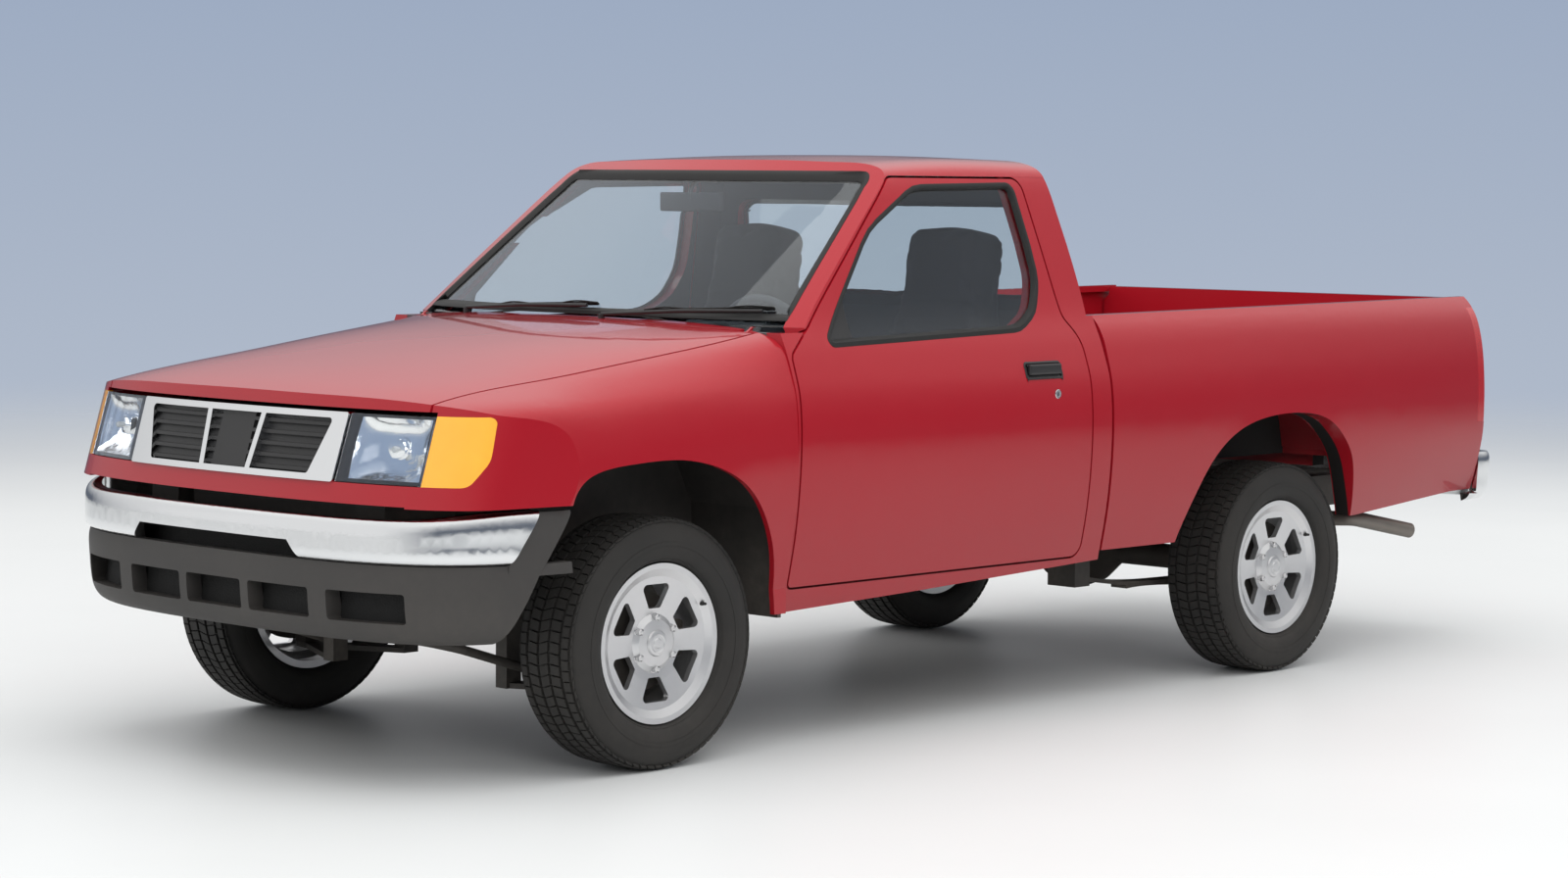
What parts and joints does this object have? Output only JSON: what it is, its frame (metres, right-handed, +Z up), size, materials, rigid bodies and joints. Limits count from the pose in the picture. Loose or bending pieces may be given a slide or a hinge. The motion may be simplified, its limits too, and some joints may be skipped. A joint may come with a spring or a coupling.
{
  "type": "two-door pickup truck",
  "caption": "Compact two-door pickup truck with hinged doors, hood and tailgate, coupled front steering and turning wheels.",
  "frame": {"origin": "middle of the truck's length and width, on the ground", "axes": "+X to the truck's left, -Y the way it drives, +Z up"},
  "size_m": [1.6858, 4.6812, 1.566],
  "materials": {
    "body_paint": "gloss",
    "inner_paint": "satin",
    "chassis_black": "satin",
    "chrome": "polished",
    "dark_plastic": "matte",
    "black_plastic": "matte",
    "lamp_clear": "gloss",
    "lamp_amber": "gloss",
    "lamp_red": "gloss",
    "glass": "gloss",
    "tyre": "matte",
    "alloy": "satin",
    "cast": "matte",
    "steel": "matte",
    "interior_grey": "matte",
    "seat_cloth": "matte"
  },
  "bodies": {
    "chassis": {"frame": "chassis_black", "cab_floor": "inner_paint", "cab_sides": "body_paint", "cab_back": "body_paint", "roof": "body_paint", "cowl": "body_paint", "cab_glass": "glass", "fenders": "body_paint", "inner_fenders": "chassis_black", "nose_panel": "body_paint", "headlamps": "lamp_clear", "corner_lamps": "lamp_amber", "grille": "black_plastic", "grille_frame": "chrome", "front_bumper": "chrome", "front_valance": "dark_plastic", "bed_sides": "body_paint", "bed_floor": "body_paint", "tail_lamps": "lamp_red", "rear_bumper": "chrome", "wipers": "black_plastic", "dashboard": "interior_grey", "gear_console": "interior_grey", "seat_left": "seat_cloth", "seat_right": "seat_cloth", "engine": "cast", "propshaft": "steel", "rear_axle": "cast", "leaf_springs": "steel", "control_arms": "chassis_black", "exhaust": "steel", "fuel_tank": "black_plastic"},
    "hood": {"hood": "body_paint"},
    "door_left": {"door_left": "body_paint", "door_left_glass": "glass"},
    "door_right": {"door_right": "body_paint", "door_right_glass": "glass"},
    "tailgate": {"tailgate": "body_paint"},
    "steering_wheel": {"steering_wheel": "black_plastic"},
    "knuckle_left": {"knuckle_left": "cast"},
    "knuckle_right": {"knuckle_right": "cast"},
    "wheel_front_left": {"tyre_front_left": "tyre", "rim_front_left": "alloy"},
    "wheel_front_right": {"tyre_front_right": "tyre", "rim_front_right": "alloy"},
    "wheel_rear_left": {"tyre_rear_left": "tyre", "rim_rear_left": "alloy"},
    "wheel_rear_right": {"tyre_rear_right": "tyre", "rim_rear_right": "alloy"}
  },
  "joints": [
    {"name": "hood_hinge", "type": "hinge", "parent": "chassis", "child": "hood", "pos_m": [0, -1.0705, 1.095], "axis": [-1, 0, 0], "range_deg": [0, 50]},
    {"name": "door_left_hinge", "type": "hinge", "parent": "chassis", "child": "door_left", "pos_m": [0.846, -1.0825, 0.75], "axis": [0, 0, -1], "range_deg": [0, 68]},
    {"name": "door_right_hinge", "type": "hinge", "parent": "chassis", "child": "door_right", "pos_m": [-0.846, -1.0825, 0.75], "axis": [0, 0, 1], "range_deg": [0, 68]},
    {"name": "tailgate_hinge", "type": "hinge", "parent": "chassis", "child": "tailgate", "pos_m": [0, 2.1745, 0.664], "axis": [-1, 0, 0], "range_deg": [0, 90]},
    {"name": "steer_left", "type": "hinge", "parent": "chassis", "child": "knuckle_left", "pos_m": [0.632, -1.5255, 0.322], "axis": [0, 0, 1], "range_deg": [-33, 33]},
    {"name": "steer_right", "type": "hinge", "parent": "chassis", "child": "knuckle_right", "pos_m": [-0.632, -1.5255, 0.322], "axis": [0, 0, 1], "range_deg": [-33, 33]},
    {"name": "steering_wheel_turn", "type": "hinge", "parent": "chassis", "child": "steering_wheel", "pos_m": [0.37, -0.7195, 0.972], "axis": [0, 0.9458, 0.3248], "range_deg": [-528, 528]},
    {"name": "wheel_front_left_spin", "type": "hinge", "parent": "knuckle_left", "child": "wheel_front_left", "pos_m": [0.697, -1.5255, 0.322], "axis": [1, 0, 0], "continuous": true},
    {"name": "wheel_front_right_spin", "type": "hinge", "parent": "knuckle_right", "child": "wheel_front_right", "pos_m": [-0.697, -1.5255, 0.322], "axis": [1, 0, 0], "continuous": true},
    {"name": "wheel_rear_left_spin", "type": "hinge", "parent": "chassis", "child": "wheel_rear_left", "pos_m": [0.692, 1.1235, 0.322], "axis": [1, 0, 0], "continuous": true},
    {"name": "wheel_rear_right_spin", "type": "hinge", "parent": "chassis", "child": "wheel_rear_right", "pos_m": [-0.692, 1.1235, 0.322], "axis": [1, 0, 0], "continuous": true}
  ],
  "couplings": [
    {"joint": "steer_right", "follows": "steer_left", "ratio": 1},
    {"joint": "steering_wheel_turn", "follows": "steer_left", "ratio": 16}
  ]
}
